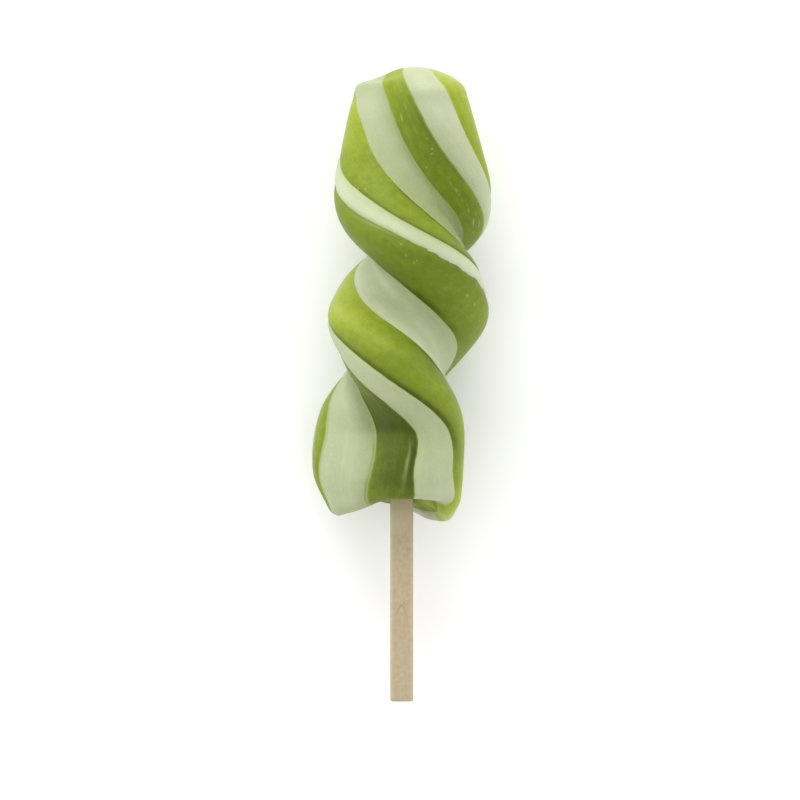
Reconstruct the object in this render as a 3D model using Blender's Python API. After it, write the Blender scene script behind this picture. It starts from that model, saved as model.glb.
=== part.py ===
"""Swirl lollipop: a twisted bar of green boiled sugar, four pale sugar stripes let into it, on a square stick.

The lollipop lies along Y with the crown of the candy at +Y and the bare stick at -Y. The shown face looks
up, and two turned edges of the bar touch the surface below it. Lengths are metres and angles are degrees.
"""
import math

import bpy
from mathutils import Matrix, Vector

MM = 0.001

# Section of the bar, square to its length: two round edges joined by two faces. Angles in the section start
# at the middle of the first face and grow towards the first edge.
EDGE_RADIUS = 11.0 * MM
EDGE_OFFSET = 7.4 * MM
FACE_VALLEYS = (
    {"angle": 26.0, "width": 21.0, "depth": 2.6 * MM},
    {"angle": 166.0, "width": 39.0, "depth": 2.5 * MM},
)
VALLEY_START = 8.0 * MM
VALLEY_FULL = 26.0 * MM

# Shape along the bar, as one value every STATION_STEP from its lower end: how far the section is turned,
# how far its centre stands from the stick's axis, and its size.
STATION_STEP = 10.0 * MM
TURN = (41, 41, 41, 81, 132, 207, 281, 336, 378, 405, 427)
LEAN = (-1.3, -3.0, -2.6, -1.4, 0.8, 1.9, 2.8, 2.5, 2.5, 2.1, 2.2)
SWELL = (0.84, 1.01, 1.00, 1.06, 1.01, 0.93, 1.06, 0.97, 0.87, 0.84, 0.80)

# Stripes in their order round the section: the angle where each starts at the lower end, the middle and the
# top of the bar, and where along the bar it ends at the foot and at the crown.
STRIPES = (
    {"sugar": "green", "starts": (-71, -56, -83), "foot": 1.8 * MM, "crown": 94.8 * MM},
    {"sugar": "pale", "starts": (-55, -29, -42), "foot": 2.0 * MM, "crown": 96.8 * MM},
    {"sugar": "green", "starts": (13, 22, 5), "foot": 5.2 * MM, "crown": 97.4 * MM},
    {"sugar": "pale", "starts": (61, 52, 51), "foot": 4.2 * MM, "crown": 98.8 * MM},
    {"sugar": "green", "starts": (91, 76, 86), "foot": 1.0 * MM, "crown": 96.4 * MM},
    {"sugar": "pale", "starts": (129, 135, 140), "foot": 0.0 * MM, "crown": 94.0 * MM},
    {"sugar": "green", "starts": (199, 204, 214), "foot": 5.5 * MM, "crown": 93.0 * MM},
    {"sugar": "pale", "starts": (272, 281, 267), "foot": 3.4 * MM, "crown": 94.0 * MM},
)
STRIPE_LEVELS = (5.0 * MM, 50.0 * MM, 95.0 * MM)
STRIPE_DEPTH = 2.4 * MM
SEAM_GROOVE = 0.4 * MM
PIECE_GAP = 0.3 * MM
BED_GAP = 0.5 * MM

# Ends of the bar
FOOT_ROUNDING = 1.6 * MM
FOOT_TRIM = 1.2 * MM
CROWN_ROUNDING = 4.5 * MM
CROWN_SHRINK = 0.62
CROWN_BEND = 65.0
FOOT_HOLLOW = 5.0 * MM
CROWN_CENTRE = 95.0 * MM
END_BLEND = 22.0 * MM

# Stick, square with eased edges, and its socket in the bar
STICK_SIDE = 5.0 * MM
STICK_EASE = 0.4 * MM
STICK_END = -39.1 * MM
STICK_TOP = 34.0 * MM
SOCKET_START = -2.0 * MM

# Height of the stick's axis over the surface; what would reach lower is flattened.
AXIS_HEIGHT = 18.2 * MM

# Fineness of the faceted solids
POINTS_ACROSS = 6
RING_STEP = 4.0 * MM
RING_TURN = 9.6
ROUNDING_RINGS = 3

MATERIALS = {
    "green": {"colour": (0.33, 0.43, 0.04, 1.0), "roughness": 0.18, "metallic": 0.0},
    "pale": {"colour": (0.60, 0.66, 0.40, 1.0), "roughness": 0.38, "metallic": 0.0},
    "stick": {"colour": (0.52, 0.40, 0.27, 1.0), "roughness": 0.65, "metallic": 0.0},
}


def clear_scene():
    for item in list(bpy.data.objects):
        bpy.data.objects.remove(item, do_unlink=True)


def make_material(name):
    look = MATERIALS[name]
    material = bpy.data.materials.new(name)
    material.use_nodes = True
    shader = material.node_tree.nodes["Principled BSDF"]
    shader.inputs["Base Color"].default_value = look["colour"]
    shader.inputs["Roughness"].default_value = look["roughness"]
    shader.inputs["Metallic"].default_value = look["metallic"]
    return material


def smooth(part):
    """Ease from 0 to 1."""
    part = min(max(part, 0.0), 1.0)
    return part * part * (3.0 - 2.0 * part)


def along(stations, height):
    """Value at a height, passing smoothly through the station values."""
    place = min(max(height / STATION_STEP, 0.0), len(stations) - 1.001)
    index = int(place)
    part = place - index
    before = stations[max(index - 1, 0)]
    start = stations[index]
    end = stations[index + 1]
    after = stations[min(index + 2, len(stations) - 1)]
    start_slope = (end - before) / 2.0
    end_slope = (after - start) / 2.0
    rise = end - start
    square = 3.0 * rise - 2.0 * start_slope - end_slope
    cube = start_slope + end_slope - 2.0 * rise
    return start + part * (start_slope + part * (square + part * cube))


def seam_angle(index, height):
    """Angle where a stripe starts; a quadratic through its three levels. Index 8 is stripe 0 a turn later."""
    turns, index = divmod(index, len(STRIPES))
    low, middle, top = STRIPES[index]["starts"]
    place = (height - STRIPE_LEVELS[1]) / (STRIPE_LEVELS[2] - STRIPE_LEVELS[1])
    slope = (top - low) / 2.0
    bend = (top + low) / 2.0 - middle
    return middle + slope * place + bend * place * place + 360.0 * turns


def section_radius(angle, height):
    """Distance from the section's centre to its skin."""
    radians = math.radians(angle)
    side = abs(math.sin(radians))
    face = abs(math.cos(radians))
    if EDGE_RADIUS * side <= EDGE_OFFSET * face:
        radius = EDGE_RADIUS / face
    else:
        radius = EDGE_OFFSET * side + math.sqrt(EDGE_RADIUS ** 2 - (EDGE_OFFSET * face) ** 2)
    depth_share = smooth((height - VALLEY_START) / (VALLEY_FULL - VALLEY_START))
    for valley in FACE_VALLEYS:
        away = (angle - valley["angle"] + 180.0) % 360.0 - 180.0
        radius -= depth_share * valley["depth"] * math.exp(-(away / valley["width"]) ** 2)
    return radius * along(SWELL, height)


def end_height(end, position):
    """Where the bar ends, "foot" or "crown", eased from each stripe's middle to the next one's."""
    count = len(STRIPES)
    place = position - 0.5
    index = math.floor(place)
    here = STRIPES[index % count][end]
    following = STRIPES[(index + 1) % count][end]
    return here + (following - here) * smooth(place - index)


def ring_levels():
    """Rings from foot to crown: nominal height, trim of the skin, shrink factor, bend over the crown."""
    rings = []
    for step in range(ROUNDING_RINGS):
        bend = math.radians(90.0 * step / ROUNDING_RINGS)
        height = FOOT_ROUNDING * (1.0 - math.cos(bend))
        rings.append((height, FOOT_TRIM * (1.0 - math.sin(bend)), 1.0, 0.0))
    top = max(stripe["crown"] for stripe in STRIPES)
    start = FOOT_ROUNDING
    stop = top - CROWN_ROUNDING
    heights = [start]
    while heights[-1] < stop:
        here = heights[-1]
        turned = along(TURN, here + MM) - along(TURN, here)
        heights.append(here + min(RING_STEP, RING_TURN * MM / max(turned, MM)))
    stretch = (stop - start) / (heights[-1] - start)
    for height in heights:
        rings.append((start + (height - start) * stretch, 0.0, 1.0, 0.0))
    for step in range(1, ROUNDING_RINGS + 1):
        bend = math.radians(CROWN_BEND * step / ROUNDING_RINGS)
        height = stop + CROWN_ROUNDING * math.sin(bend) / math.sin(math.radians(CROWN_BEND))
        rings.append((height, 0.0, CROWN_SHRINK + (1.0 - CROWN_SHRINK) * math.cos(bend), bend))
    return rings


def true_height(nominal, position):
    """Height of a ring's point once the uneven foot and crown are worked in."""
    top = max(stripe["crown"] for stripe in STRIPES)
    near_foot = max(0.0, 1.0 - nominal / END_BLEND) ** 2
    near_crown = max(0.0, 1.0 - (top - nominal) / END_BLEND) ** 2
    lift = near_foot * end_height("foot", position)
    drop = near_crown * (top - end_height("crown", position))
    return nominal + lift - drop


def candy_point(index, part, ring, sunk, inset):
    """A point of stripe index, a part of the way across it, sunk under the skin and inset from its seams."""
    nominal, trim, shrink, bend = ring
    height = true_height(nominal, index + part) - sunk * math.sin(bend)
    sunk = max(sunk * math.cos(bend), trim)
    turn = along(TURN, height)
    turn_rate = math.radians(along(TURN, height + MM) - turn) / MM
    start = seam_angle(index, height)
    angle = start + (seam_angle(index + 1, height) - start) * part
    reach = section_radius(angle, height) * shrink - sunk
    slanted_inset = inset * math.hypot(1.0, reach * turn_rate)
    angle += math.degrees(slanted_inset * (1.0 - 2.0 * part) / reach)
    groove = SEAM_GROOVE * abs(2.0 * part - 1.0) ** 4
    radius = (section_radius(angle, height) - groove) * shrink - sunk
    direction = math.radians(angle - turn)
    lean = along(LEAN, height) * MM
    across = lean + radius * math.sin(direction)
    up = AXIS_HEIGHT + radius * math.cos(direction)
    return Vector((across, height, max(up, 0.0)))


def centre_point(height):
    return Vector((along(LEAN, height) * MM, height, AXIS_HEIGHT))


def across_stripe(index, ring, sunk, inset):
    """Points over the width of one stripe."""
    parts = [step / (POINTS_ACROSS - 1) for step in range(POINTS_ACROSS)]
    return [candy_point(index, part, ring, sunk, inset) for part in parts]


def join_rings(faces, first, second):
    """Quads between two rings of vertex numbers."""
    count = len(first)
    for step in range(count):
        following = (step + 1) % count
        faces.append((first[step], first[following], second[following], second[step]))


def make_piece(name, points, faces, material):
    mesh = bpy.data.meshes.new(name)
    mesh.from_pydata(points, [], faces)
    mesh.validate()
    piece = bpy.data.objects.new(name, mesh)
    bpy.context.collection.objects.link(piece)
    mesh.materials.append(material)
    mesh.shade_smooth()
    mesh.set_sharp_from_angle(angle=math.radians(40.0))
    return piece


def make_pale_stripe(name, index, material):
    """A strip of pale sugar that follows the twist from foot to crown, closed at both ends."""
    points = []
    rings = []
    for ring in ring_levels():
        skin = across_stripe(index, ring, 0.0, PIECE_GAP / 2.0)
        bed = across_stripe(index, ring, STRIPE_DEPTH - BED_GAP, PIECE_GAP / 2.0)
        first = len(points)
        points += skin + bed[::-1]
        rings.append(list(range(first, len(points))))
    faces = []
    for lower, upper in zip(rings, rings[1:]):
        join_rings(faces, lower, upper)
    last = 2 * POINTS_ACROSS - 1
    for step in range(POINTS_ACROSS - 1):
        foot = rings[0]
        crown = rings[-1]
        faces.append((foot[step + 1], foot[step], foot[last - step], foot[last - step - 1]))
        faces.append((crown[step], crown[step + 1], crown[last - step - 1], crown[last - step]))
    return make_piece(name, points, faces, material)


def body_ring(ring):
    """Round the green bar: over each green stripe, and along the floor of the channel under each pale one."""
    points = []
    for index, stripe in enumerate(STRIPES):
        if stripe["sugar"] == "green":
            points += across_stripe(index, ring, 0.0, PIECE_GAP / 2.0)
        else:
            points += across_stripe(index, ring, STRIPE_DEPTH, -PIECE_GAP / 2.0)
    return points


def close_body_end(points, faces, rim, ring, centre, outwards):
    """Close an end: a band behind each green stripe down to the channel floors, then a fan to the centre."""
    core = []
    count = len(rim)
    for index, stripe in enumerate(STRIPES):
        first = index * POINTS_ACROSS
        outer = rim[first:first + POINTS_ACROSS]
        if stripe["sugar"] == "pale":
            core += outer
            continue
        inner_points = across_stripe(index, ring, STRIPE_DEPTH, PIECE_GAP / 2.0)
        number = len(points)
        points += inner_points[1:-1]
        inner = [rim[first - 1]] + list(range(number, len(points))) + [rim[(first + POINTS_ACROSS) % count]]
        core += inner[1:-1]
        for step in range(POINTS_ACROSS - 1):
            faces.append((outer[step], outer[step + 1], inner[step + 1], inner[step])[::outwards])
    points.append(centre)
    for step in range(len(core)):
        following = core[(step + 1) % len(core)]
        faces.append((core[step], following, len(points) - 1)[::outwards])


def make_socket_cutter():
    """A square bar, larger than the stick by the gap on every side, that hollows the socket."""
    side = STICK_SIDE + 2.0 * PIECE_GAP
    length = STICK_TOP + PIECE_GAP - SOCKET_START
    middle = SOCKET_START + length / 2.0
    bpy.ops.mesh.primitive_cube_add(size=1.0, location=(0.0, middle, AXIS_HEIGHT))
    cutter = bpy.context.object
    cutter.name = "socket_cutter"
    cutter.scale = (side, length, side)
    bpy.ops.object.transform_apply(location=True, rotation=False, scale=True)
    cutter.hide_render = True
    cutter.display_type = "WIRE"
    return cutter


def make_body(material):
    """The green bar in one piece, with four channels for the pale stripes and a socket for the stick."""
    points = []
    rings = []
    levels = ring_levels()
    for ring in levels:
        first = len(points)
        points += body_ring(ring)
        rings.append(list(range(first, len(points))))
    faces = []
    for lower, upper in zip(rings, rings[1:]):
        join_rings(faces, lower, upper)
    close_body_end(points, faces, rings[0], levels[0], centre_point(FOOT_HOLLOW), -1)
    close_body_end(points, faces, rings[-1], levels[-1], centre_point(CROWN_CENTRE), 1)
    body = make_piece("candy_body", points, faces, material)
    cut = body.modifiers.new("Socket", "BOOLEAN")
    cut.operation = "DIFFERENCE"
    cut.solver = "EXACT"
    cut.object = make_socket_cutter()
    return body


def make_stick(material):
    """A square wooden stick with eased edges."""
    length = STICK_TOP - STICK_END
    middle = (STICK_TOP + STICK_END) / 2.0
    bpy.ops.mesh.primitive_cube_add(size=1.0, location=(0.0, middle, AXIS_HEIGHT))
    stick = bpy.context.object
    stick.name = "stick"
    stick.scale = (STICK_SIDE, length, STICK_SIDE)
    bpy.ops.object.transform_apply(location=True, rotation=False, scale=True)
    ease = stick.modifiers.new("Eased edges", "BEVEL")
    ease.width = STICK_EASE
    ease.segments = 2
    stick.data.materials.append(material)
    stick.data.shade_smooth()
    stick.data.set_sharp_from_angle(angle=math.radians(40.0))
    return stick


def centre_on_origin(pieces):
    """Move everything so that the origin lies under the middle of the whole lollipop's box."""
    corners = [vertex.co for piece in pieces for vertex in piece.data.vertices]
    middle_x = (min(c.x for c in corners) + max(c.x for c in corners)) / 2.0
    middle_y = (min(c.y for c in corners) + max(c.y for c in corners)) / 2.0
    shift = Matrix.Translation((-middle_x, -middle_y, 0.0))
    for item in bpy.data.objects:
        item.data.transform(shift)


def main():
    clear_scene()
    green = make_material("green")
    pale = make_material("pale")
    wood = make_material("stick")
    pieces = [make_body(green)]
    number = 0
    for index, stripe in enumerate(STRIPES):
        if stripe["sugar"] == "pale":
            number += 1
            pieces.append(make_pale_stripe(f"pale_stripe_{number}", index, pale))
    pieces.append(make_stick(wood))
    centre_on_origin(pieces)


main()
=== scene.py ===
import math

import bpy
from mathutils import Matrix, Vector, noise


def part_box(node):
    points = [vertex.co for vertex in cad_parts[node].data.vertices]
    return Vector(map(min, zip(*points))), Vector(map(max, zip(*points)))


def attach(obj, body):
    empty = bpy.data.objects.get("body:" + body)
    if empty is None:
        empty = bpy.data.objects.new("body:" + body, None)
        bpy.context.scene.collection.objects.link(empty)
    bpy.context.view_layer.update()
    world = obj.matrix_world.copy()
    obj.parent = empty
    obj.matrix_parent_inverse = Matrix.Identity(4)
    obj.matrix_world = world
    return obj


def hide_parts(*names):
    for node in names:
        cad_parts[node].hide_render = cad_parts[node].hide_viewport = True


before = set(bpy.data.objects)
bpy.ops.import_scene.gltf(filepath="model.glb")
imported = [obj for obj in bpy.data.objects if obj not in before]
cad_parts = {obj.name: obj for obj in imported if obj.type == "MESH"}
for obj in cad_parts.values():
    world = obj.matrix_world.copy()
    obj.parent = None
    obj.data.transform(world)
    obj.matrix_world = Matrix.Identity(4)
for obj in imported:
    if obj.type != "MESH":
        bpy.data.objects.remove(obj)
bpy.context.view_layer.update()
bpy.ops.object.select_all(action="DESELECT")
print("packed solids loaded")

mm = 0.001

# The stick's solid gives the candy's centre line and the height that the candy starts from.
stickLow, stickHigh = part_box("stick")
stickReach = 39.1  # bare stick under the candy, mm
axisX = (stickLow.x + stickHigh.x) / 2
axisZ = (stickLow.z + stickHigh.z) / 2
footY = stickLow.y + stickReach * mm


# ---- camera ----

cameraSetup = {
    "lens": 200,
    "sensor": 36,
    "field": 173.9,  # what the frame is wide at the candy's middle, mm
    "besideStick": -0.37,  # frame's centre from the stick's axis, mm
    "aboveEnd": 65.4,  # frame's centre from the stick's free end, mm
}


def makeCamera():
    sight = bpy.data.cameras.new("camera")
    sight.lens = cameraSetup["lens"]
    sight.sensor_width = cameraSetup["sensor"]
    distance = cameraSetup["field"] * mm * sight.lens / sight.sensor_width
    sight.clip_end = 20
    camera = bpy.data.objects.new("camera", sight)
    bpy.context.scene.collection.objects.link(camera)
    camera.location = (
        axisX + cameraSetup["besideStick"] * mm,
        stickLow.y + cameraSetup["aboveEnd"] * mm,
        axisZ + distance,
    )
    bpy.context.scene.camera = camera


makeCamera()
print("camera ready")


# ---- swirl: the shape that every piece of sugar follows ----
# Lengths in mm and angles in degrees. A place round the candy runs from 0 to 8, one whole number a stripe.

swirl = {
    "edgeRadius": 11.0,  # round edges of the bar
    "edgeOffset": 7.4,  # how far each edge's centre is from the middle
    "valleys": (  # hollows along the two faces: angle, width, depth
        (26.0, 21.0, 2.6),
        (166.0, 39.0, 2.5),
    ),
    "valleyStart": 8.0,
    "valleyFull": 26.0,
    "stationStep": 10.0,
    "slip": ((44, 0), (56, 9), (66, 9), (76, 0)),  # how far the first hollow slides round, by height
    "turn": (41, 41, 41, 81, 132, 207, 281, 336, 378, 405, 427),
    "lean": (-1.3, -3.0, -2.6, -1.4, 0.8, 1.9, 2.8, 2.5, 2.2, 1.95, 2.1),
    "swell": (0.83, 0.985, 0.99, 1.055, 1.02, 0.93, 1.06, 0.967, 0.87, 0.817, 0.78),
    "levels": (5.0, 50.0, 95.0),  # where the stripes' three starts are given
    "cushion": 0.30,  # soft rounding of each stripe towards its seams
    "crease": 0.05,  # narrow groove at the seam itself
    "creaseWidth": 0.9,
    "unevenness": 0.14,  # slow swells of a hand-pulled bar
    "unevenSize": 6.5,
    "footBlend": 14.0,  # how far up the uneven foot is worked in
    "footRounding": 1.5,
    "footMiddle": 5.6,
    "crownStart": 92.2,
    "crownTop": 98.75,
    "crownSpread": 0.9,
    "crownRun": 5.0,  # how much further the stripes are followed over the crown
    "crownMeeting": (-2.0, -7.0),  # where they meet, sideways and upwards from the crown's middle
    "footTuck": ((0.0, 0.0), (3.4, 0.0), (4.2, 1.3), (5.2, 1.5), (5.9, 0.3), (6.6, 0.0)),  # drawn in at the foot, mm
    "footTuckReach": 5.0,
    # the foot's rim, and how far the crown falls towards its rim, by place round the candy
    "footRim": (
        (0.0, 2.6), (0.6, 1.6), (1.0, 1.1), (1.5, 2.2), (2.0, 3.6), (2.5, 4.7), (3.0, 5.1), (3.5, 4.7),
        (3.9, 4.2), (4.35, 0.9), (4.7, 0.1), (5.1, 0.0), (5.5, 0.8), (6.0, 2.3), (6.8, 4.6), (7.5, 4.2),
    ),
    "crownFall": (
        (0.0, 2.9), (0.6, 3.1), (1.2, 2.9), (1.6, 3.3), (2.1, 2.7), (2.7, 0.8), (3.3, 0.1), (4.0, 0.4), (4.6, 0.8), (6.0, 1.2), (7.0, 2.2),
    ),
    "crownCorner": ((0.0, 3.0), (0.6, 5.0), (1.4, 7.0), (2.1, 4.0), (3.0, 2.1), (4.5, 2.1), (6.0, 2.1), (7.3, 2.4)),
}

# starts: the angle where a stripe starts, near the foot, half way up and near the crown.
# wander: how far that seam strays from its smooth line, as height and degrees. ragged: its small unevenness, the same way.
# the tone, the sugar's own colour with painted light and shade of its creases, folds and lit sides worked in: height,
# then how light the sugar is painted at the first seam, in the middle and at the next seam.
# bands of painted shade beside a seam, painted light where the strength is below zero: which seam, from and to which
# height, how wide in mm, how strong.
# gleams: painted highlights in light strokes: height, part of the way across, length and width in mm, how strong.
# bubbles: where small bubbles gather, their glints painted in as lighter spots: height, part of the way across, reach
# in mm, how many.
stripes = (
    {
        "sugar": "green", "starts": (-71, -56, -83),
        "wander": ((68, 0), (78, -8), (85, -12), (99, -10)), "ragged": ((0, 0.3), (99, 0.3)),
        "tone": (
            (0, 0.52, 0.54, 0.52), (15, 0.52, 0.54, 0.52), (28, 0.55, 0.58, 0.55), (42, 0.50, 0.50, 0.50),
            (58, 0.36, 0.42, 0.32), (64, 0.43, 0.52, 0.46), (72, 0.48, 0.54, 0.52), (78, 0.54, 0.58, 0.52),
            (84, 0.64, 0.70, 0.64), (90, 0.72, 0.76, 0.74), (98, 0.70, 0.72, 0.70),
        ),
        "seamShading": ((0, 58, 74, 0.9, 0.16), (1, 58, 74, 0.7, 0.20)),
        "gleams": ((88, 0.30, 6.0, 1.2, 0.12),),
        "bubbleGlints": ((70, 0.1, 2.0, 0.4),),
    },
    {
        "sugar": "pale", "starts": (-55, -29, -42),
        "wander": ((0, 0), (84, 0), (91, -7), (96, -14), (99, -14)), "ragged": ((0, 0.4), (99, 0.4)),
        "tone": (
            (0, 0.60, 0.55, 0.42), (5, 0.68, 0.68, 0.50), (12, 0.68, 0.70, 0.52), (18.4, 0.68, 0.68, 0.52),
            (20.2, 0.66, 0.55, 0.32), (22, 0.62, 0.58, 0.36), (26, 0.60, 0.70, 0.44), (34, 0.56, 0.60, 0.46), (46, 0.60, 0.60, 0.60),
            (60, 0.24, 0.16, 0.10), (66, 0.38, 0.30, 0.24), (72, 0.46, 0.44, 0.34), (78, 0.53, 0.52, 0.43),
            (84, 0.60, 0.62, 0.52), (90, 0.70, 0.72, 0.62), (97, 0.66, 0.66, 0.58),
        ),
        "seamShading": ((1, 1, 19, 0.7, 0.30), (0, 1, 30, 0.6, 0.22)),
        "gleams": ((15, 0.42, 5.0, 0.5, 0.14), (9, 0.60, 4.0, 0.4, 0.10), (12, 0.16, 3.0, 0.5, 0.08), (24, 0.50, 3.0, 0.6, 0.08)),
        "bubbleGlints": ((15, 0.18, 3.0, 0.8), (9, 0.18, 3.0, 0.8), (4, 0.40, 3.0, 0.4)),
    },
    {
        "sugar": "green", "starts": (13, 22, 5),
        "wander": ((0, -8), (5, -5), (7.5, 0), (10, 6), (13, 7.5), (17, 5), (22, 3), (28, 0), (57, 0), (62, 7), (68, 7), (75, 0)),
        "ragged": ((0, 0.5), (99, 0.3)),
        "tone": (
            (0, 0.36, 0.32, 0.34), (5, 0.40, 0.35, 0.30), (10, 0.32, 0.16, 0.18), (18.6, 0.28, 0.20, 0.16),
            (19.8, 0.10, 0.06, 0.08), (25, 0.18, 0.18, 0.18), (30, 0.32, 0.32, 0.32), (42, 0.50, 0.50, 0.50),
            (56, 0.50, 0.50, 0.50), (62, 0.52, 0.51, 0.54), (69, 0.52, 0.48, 0.50), (76, 0.49, 0.47, 0.46),
            (82, 0.50, 0.45, 0.42), (88, 0.55, 0.50, 0.45), (93, 0.62, 0.58, 0.54), (98, 0.62, 0.65, 0.62),
        ),
        "seamShading": ((1, 3, 19, 1.3, 0.10), (0, 1, 19, 0.6, -0.16), (0, 72, 88, 0.6, 0.08), (1, 72, 90, 0.6, 0.08)),
        "gleams": (
            (12.8, 0.84, 3.4, 0.26, 0.45), (9.0, 0.80, 2.0, 0.24, 0.16), (27.5, 0.80, 1.4, 0.28, 0.18), (83.0, 0.28, 2.0, 0.3, 0.10),
        ),
        "bubbleGlints": (
            (88, 0.45, 3.0, 0.35), (80, 0.60, 3.0, 0.25), (70, 0.60, 4.0, 0.35), (4, 0.60, 3.0, 0.3),
        ),
    },
    {
        "sugar": "pale", "starts": (61, 52, 51),
        "wander": ((4, 0), (8, 1), (14, 2.5), (19, 3.5), (25, 0), (95, 0), (99, 5), (103, 12)), "ragged": ((0, 0.3), (99, 0.4)),
        "tone": (
            (0, 0.70, 0.74, 0.66), (5, 0.76, 0.80, 0.76), (10, 0.70, 0.70, 0.70), (16, 0.62, 0.68, 0.64),
            (22, 0.58, 0.66, 0.58), (28, 0.64, 0.72, 0.60), (34, 0.66, 0.70, 0.62), (40, 0.68, 0.70, 0.68),
            (50, 0.70, 0.70, 0.70), (62, 0.90, 0.92, 0.86), (68, 0.82, 0.88, 0.82), (74, 0.74, 0.82, 0.78),
            (82, 0.70, 0.80, 0.76), (88, 0.80, 0.91, 0.86), (93, 0.73, 0.81, 0.77), (98, 0.67, 0.71, 0.69),
        ),
        "seamShading": (),
        "gleams": ((7, 0.55, 5.0, 0.6, 0.06), (85, 0.75, 5.0, 0.7, 0.05)),
        "bubbleGlints": ((84, 0.6, 4.0, 0.4),),
    },
    {
        "sugar": "green", "starts": (91, 76, 86),
        "wander": ((1, -12), (2.4, -6), (4, 2), (6, 7), (8, 6), (10, 5), (14, 5), (20, 2), (26, 0), (95, 0), (99, 10), (103, 20)),
        "ragged": ((0, 0.4), (99, 0.3)),
        "tone": (
            (0, 0.86, 0.97, 0.90), (5, 0.74, 0.82, 0.80), (10, 0.54, 0.67, 0.66), (16, 0.46, 0.61, 0.62),
            (22, 0.46, 0.60, 0.54), (28, 0.44, 0.54, 0.46), (34, 0.42, 0.48, 0.34), (40, 0.50, 0.60, 0.46),
            (46, 0.72, 0.74, 0.64), (52, 0.84, 0.84, 0.78), (62, 0.60, 0.60, 0.60), (78, 0.66, 0.72, 0.70),
            (85, 0.66, 0.76, 0.72), (91, 0.74, 0.80, 0.76), (98, 0.82, 0.84, 0.82),
        ),
        "seamShading": ((0, 14, 44, 1.5, 0.24), (0, 20, 32, 1.4, 0.10), (1, 20, 40, 1.3, 0.22)),
        "gleams": ((46, 0.55, 4.0, 2.0, 0.16), (28, 0.90, 2.6, 0.28, 0.22), (31, 0.86, 2.0, 0.26, 0.14), (22, 0.88, 2.5, 0.28, 0.14)),
        "bubbleGlints": ((20, 0.8, 3.0, 0.3),),
    },
    {
        "sugar": "pale", "starts": (129, 135, 140),
        "wander": ((0, 0), (99, 0)), "ragged": ((0, 0.4), (99, 0.4)),
        "tone": (
            (0, 0.90, 0.94, 0.90), (2.5, 0.85, 0.88, 0.85), (7, 0.60, 0.60, 0.60), (14, 0.60, 0.60, 0.60), (28, 0.78, 0.84, 0.80), (34, 0.80, 0.78, 0.68),
            (40, 0.80, 0.74, 0.60), (46, 0.80, 0.72, 0.58), (52, 0.90, 0.83, 0.60), (58, 0.86, 0.58, 0.30),
            (70, 0.60, 0.60, 0.60), (98, 0.74, 0.74, 0.70),
        ),
        "seamShading": (),
        "gleams": ((36, 0.45, 4.0, 0.8, 0.06),),
        "bubbleGlints": (),
    },
    {
        "sugar": "green", "starts": (199, 204, 214),
        "wander": ((24, 0), (32, 7), (37, 7), (44, 0)), "ragged": ((0, 0.3), (99, 0.3)),
        "tone": (
            (0, 0.36, 0.40, 0.36), (16, 0.46, 0.50, 0.46), (30, 0.50, 0.54, 0.52), (38, 0.50, 0.56, 0.60),
            (44, 0.46, 0.55, 0.58), (50, 0.37, 0.49, 0.45), (56, 0.26, 0.44, 0.40), (61, 0.38, 0.47, 0.44),
            (67, 0.44, 0.46, 0.46), (80, 0.60, 0.62, 0.60), (98, 0.74, 0.76, 0.72),
        ),
        "seamShading": ((0, 38, 60, 1.6, 0.14), (0, 43, 52, 2.2, 0.14)),
        "gleams": (
            (65.0, 0.92, 1.8, 0.6, 0.15), (63.4, 0.95, 2.0, 0.4, 0.18), (60, 0.86, 2.0, 0.5, 0.08),
        ),
        "bubbleGlints": ((56, 0.80, 3.0, 0.3), (50, 0.70, 4.0, 0.3), (43, 0.60, 4.0, 0.25)),
    },
    {
        "sugar": "pale", "starts": (272, 281, 267),
        "wander": ((46, 0), (51, -3), (57, -3), (62, 0), (66, -3), (73, -9), (82, -12), (99, -8)),
        "ragged": ((44, 0.4), (48, 3.2), (57, 3.2), (62, 0.5)),
        "tone": (
            (0, 0.50, 0.50, 0.50), (20, 0.55, 0.56, 0.55), (40, 0.70, 0.74, 0.70), (48, 0.98, 0.96, 0.90),
            (54, 1.00, 0.96, 0.80), (60, 0.84, 0.76, 0.56), (66, 0.70, 0.80, 0.62), (72, 0.84, 0.84, 0.72),
            (80, 0.74, 0.78, 0.74), (98, 0.80, 0.80, 0.80),
        ),
        "seamShading": (),
        "gleams": (),
        "bubbleGlints": ((70, 0.3, 3.0, 0.3),),
    },
)

# How light the green core is painted on the foot's own face, by share of the radius, with painted light and shade: a
# lighter band part way out and painted shade towards the rim.
faceToneAndShading = ((0.20, 0.42), (0.44, 0.46), (0.60, 0.74), (0.70, 0.70), (0.79, 0.48))

mesh = {
    "across": 41,  # points over the width of a stripe
    "step": 0.9,  # between rings
    "turnStep": 3.0,
    "depth": 2.4,  # how deep a pale stripe is let in
    "endDepth": 0.35,  # the same where it laps over the ends
    "footLap": 0.8,  # how near to the middle of an end it laps, as a share of the radius
    "crownLap": 0.12,
    "overlap": 0.02,  # of the pieces at their seams
}


def smooth(part):
    part = min(max(part, 0.0), 1.0)
    return part * part * (3 - 2 * part)


# Value at a height, eased from key to key.
def keyed(keys, height):
    if height <= keys[0][0]:
        return keys[0][1]
    for (first, here), (second, following) in zip(keys, keys[1:]):
        if height <= second:
            return here + (following - here) * smooth((height - first) / (second - first))
    return keys[-1][1]


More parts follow.
